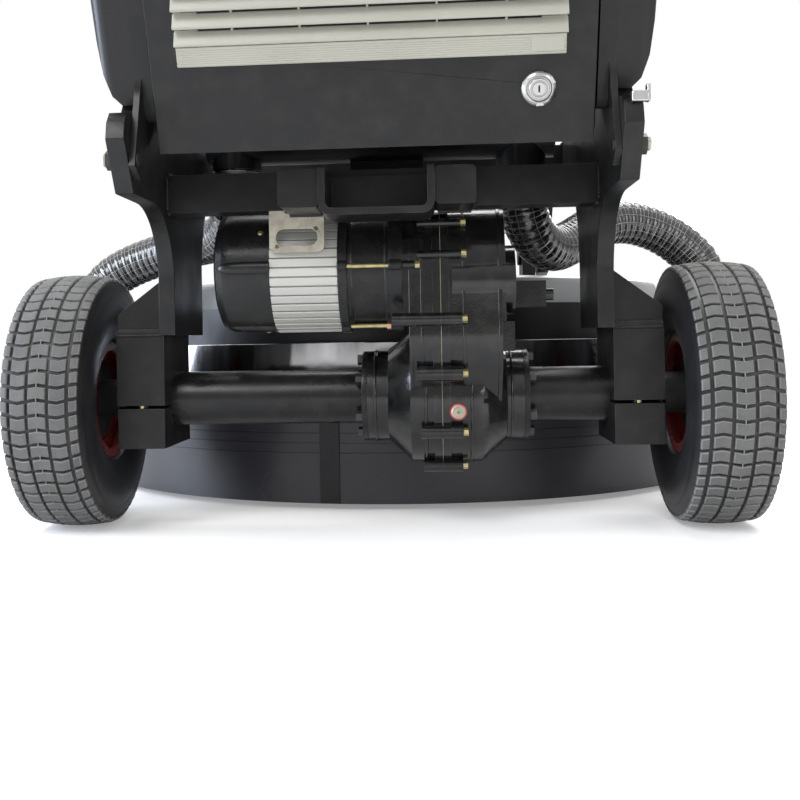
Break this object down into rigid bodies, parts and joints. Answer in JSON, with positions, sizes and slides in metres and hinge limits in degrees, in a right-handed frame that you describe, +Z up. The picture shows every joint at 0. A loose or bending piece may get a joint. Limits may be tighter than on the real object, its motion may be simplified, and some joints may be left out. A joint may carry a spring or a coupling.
{
  "type": "walk-behind concrete floor grinder",
  "caption": "Walk-behind planetary concrete floor grinder: round skirted grinding head with main motor, driven two-wheel axle, leaning control cabinet with louvered door and loop handle.",
  "frame": {"origin": "on the floor, under the middle of the whole machine's box", "axes": "+X to the operator's right, +Y forwards from the handle to the grinding head, +Z up"},
  "size_m": [1.1218, 1.977, 1.1784],
  "materials": {
    "frame_black": "satin black powder coat",
    "cast_black": "glossy black paint on rough casting",
    "motor_black": "satin black paint",
    "stator_alu": "extruded, satin",
    "brass": "yellow passivated",
    "zinc": "zinc plated, lightly stained",
    "chrome": "polished",
    "bright_steel": "machined",
    "bolt_black": "black oxide",
    "tyre": "worn tread",
    "rim_red": "gloss red paint",
    "ivory": "moulded ABS",
    "panel_black": "gloss",
    "cover_grey": "light grey paint",
    "skirt_black": "satin",
    "hose_black": "gloss with white reinforcement",
    "grip_rubber": "matte",
    "signal_red": "gloss",
    "signal_green": "gloss",
    "knob_black": "matte",
    "device_grey": "moulded",
    "gear_steel": "oiled",
    "diamond": "sintered metal"
  },
  "bodies": {
    "chassis": {"side_frames": "frame_black", "axle_clamp_blocks": "frame_black", "axle_clamp_caps": "frame_black", "crossbars": "frame_black", "frame_bolts": "bolt_black", "gearcase_left": "cast_black", "gearcase_right": "cast_black", "oil_plug": "chrome", "brass_fasteners": "brass", "axle_tubes": "cast_black", "motor_end_bell": "motor_black", "motor_stator": "stator_alu", "motor_front_shell": "motor_black", "motor_bracket": "zinc", "cabinet_shell": "frame_black", "door_hinges": "frame_black", "uprights": "frame_black", "side_panels": "panel_black", "control_console": "frame_black", "inverter_unit": "device_grey", "power_inlet": "signal_red"},
    "wheel_left": {"tyre_left": "tyre", "rim_left": "rim_red", "half_shaft_left": "bolt_black"},
    "wheel_right": {"tyre_right": "tyre", "rim_right": "rim_red", "half_shaft_right": "bolt_black"},
    "drive_rotor": {"motor_rotor": "gear_steel"},
    "idler": {"idler_gear": "gear_steel"},
    "differential": {"ring_gear": "gear_steel"},
    "door": {"cabinet_door": "frame_black", "door_louver": "ivory"},
    "lock": {"door_lock": "chrome"},
    "handle": {"handlebar": "frame_black", "handle_grips": "grip_rubber"},
    "estop": {"estop_button": "signal_red"},
    "start": {"start_button": "signal_green"},
    "stop": {"stop_button": "signal_red"},
    "knob": {"speed_knob": "knob_black"},
    "head": {"head_deck": "frame_black", "head_drum": "frame_black", "head_cover": "cover_grey", "trim_band": "chrome", "dust_skirt": "skirt_black", "sun_gear": "gear_steel", "main_motor": "motor_black", "suction_elbows": "frame_black", "suction_manifold": "frame_black", "hose_right": "hose_black", "hose_left": "hose_black"},
    "main_rotor": {"main_rotor": "gear_steel"},
    "carrier": {"planet_carrier": "bright_steel"},
    "disc_1": {"grinding_spindle_1": "gear_steel", "grinding_disc_1": "diamond"},
    "disc_2": {"grinding_spindle_2": "gear_steel", "grinding_disc_2": "diamond"},
    "disc_3": {"grinding_spindle_3": "gear_steel", "grinding_disc_3": "diamond"},
    "disc_4": {"grinding_spindle_4": "gear_steel", "grinding_disc_4": "diamond"}
  },
  "joints": [
    {"name": "wheel_left_spin", "type": "hinge", "parent": "chassis", "child": "wheel_left", "pos_m": [0, -0.22648, 0.165], "axis": [1, 0, 0], "continuous": true},
    {"name": "wheel_right_spin", "type": "hinge", "parent": "chassis", "child": "wheel_right", "pos_m": [0, -0.22648, 0.165], "axis": [1, 0, 0], "continuous": true},
    {"name": "drive_motor_spin", "type": "hinge", "parent": "chassis", "child": "drive_rotor", "pos_m": [-0.1, -0.26648, 0.327], "axis": [1, 0, 0], "continuous": true},
    {"name": "idler_spin", "type": "hinge", "parent": "chassis", "child": "idler", "pos_m": [0.08, -0.2695, 0.24405], "axis": [1, 0, 0], "continuous": true},
    {"name": "ring_gear_spin", "type": "hinge", "parent": "chassis", "child": "differential", "pos_m": [0.06, -0.22648, 0.165], "axis": [1, 0, 0], "continuous": true},
    {"name": "door_hinge", "type": "hinge", "parent": "chassis", "child": "door", "pos_m": [-0.239, -0.5815, 0.72128], "axis": [0, 0.3746, -0.9272], "range_deg": [0, 105]},
    {"name": "lock_turn", "type": "hinge", "parent": "door", "child": "lock", "pos_m": [0.1755, -0.48584, 0.49785], "axis": [0, 0.9272, 0.3746], "range_deg": [0, 90]},
    {"name": "handle_tilt", "type": "hinge", "parent": "chassis", "child": "handle", "pos_m": [0, -0.66902, 1.05802], "axis": [1, 0, 0], "range_deg": [-25, 20]},
    {"name": "estop_press", "type": "slide", "parent": "chassis", "child": "estop", "axis": [0, 0.3746, -0.9272], "range_m": [0, 0.006], "stiffness_N_per_m": 1500, "springref_m": -0.002},
    {"name": "start_press", "type": "slide", "parent": "chassis", "child": "start", "axis": [0, 0.3746, -0.9272], "range_m": [0, 0.003], "stiffness_N_per_m": 1200, "springref_m": -0.001},
    {"name": "stop_press", "type": "slide", "parent": "chassis", "child": "stop", "axis": [0, 0.3746, -0.9272], "range_m": [0, 0.003], "stiffness_N_per_m": 1200, "springref_m": -0.001},
    {"name": "speed_knob_turn", "type": "hinge", "parent": "chassis", "child": "knob", "pos_m": [0.02, -0.62097, 1.12596], "axis": [0, -0.3746, 0.9272], "range_deg": [-135, 135]},
    {"name": "head_tilt", "type": "hinge", "parent": "chassis", "child": "head", "pos_m": [0, 0.42752, 0.395], "axis": [1, 0, 0], "range_deg": [-1.7, 1.7]},
    {"name": "carrier_spin", "type": "hinge", "parent": "head", "child": "carrier", "pos_m": [0, 0.42752, 0.08], "axis": [0, 0, 1], "continuous": true},
    {"name": "main_motor_spin", "type": "hinge", "parent": "head", "child": "main_rotor", "pos_m": [0, 0.42752, 0.5], "axis": [0, 0, 1], "continuous": true},
    {"name": "disc_1_spin", "type": "hinge", "parent": "carrier", "child": "disc_1", "pos_m": [0.24749, 0.675, 0.04], "axis": [0, 0, 1], "continuous": true},
    {"name": "disc_2_spin", "type": "hinge", "parent": "carrier", "child": "disc_2", "pos_m": [-0.24749, 0.675, 0.04], "axis": [0, 0, 1], "continuous": true},
    {"name": "disc_3_spin", "type": "hinge", "parent": "carrier", "child": "disc_3", "pos_m": [-0.24749, 0.18003, 0.04], "axis": [0, 0, 1], "continuous": true},
    {"name": "disc_4_spin", "type": "hinge", "parent": "carrier", "child": "disc_4", "pos_m": [0.24749, 0.18003, 0.04], "axis": [0, 0, 1], "continuous": true}
  ],
  "couplings": [
    {"joint": "idler_spin", "follows": "drive_motor_spin", "ratio": -0.27692},
    {"joint": "ring_gear_spin", "follows": "drive_motor_spin", "ratio": 0.079121},
    {"joint": "main_motor_spin", "follows": "carrier_spin", "ratio": 4},
    {"joint": "disc_1_spin", "follows": "carrier_spin", "ratio": 1.5},
    {"joint": "disc_2_spin", "follows": "carrier_spin", "ratio": 1.5},
    {"joint": "disc_3_spin", "follows": "carrier_spin", "ratio": 1.5},
    {"joint": "disc_4_spin", "follows": "carrier_spin", "ratio": 1.5}
  ]
}
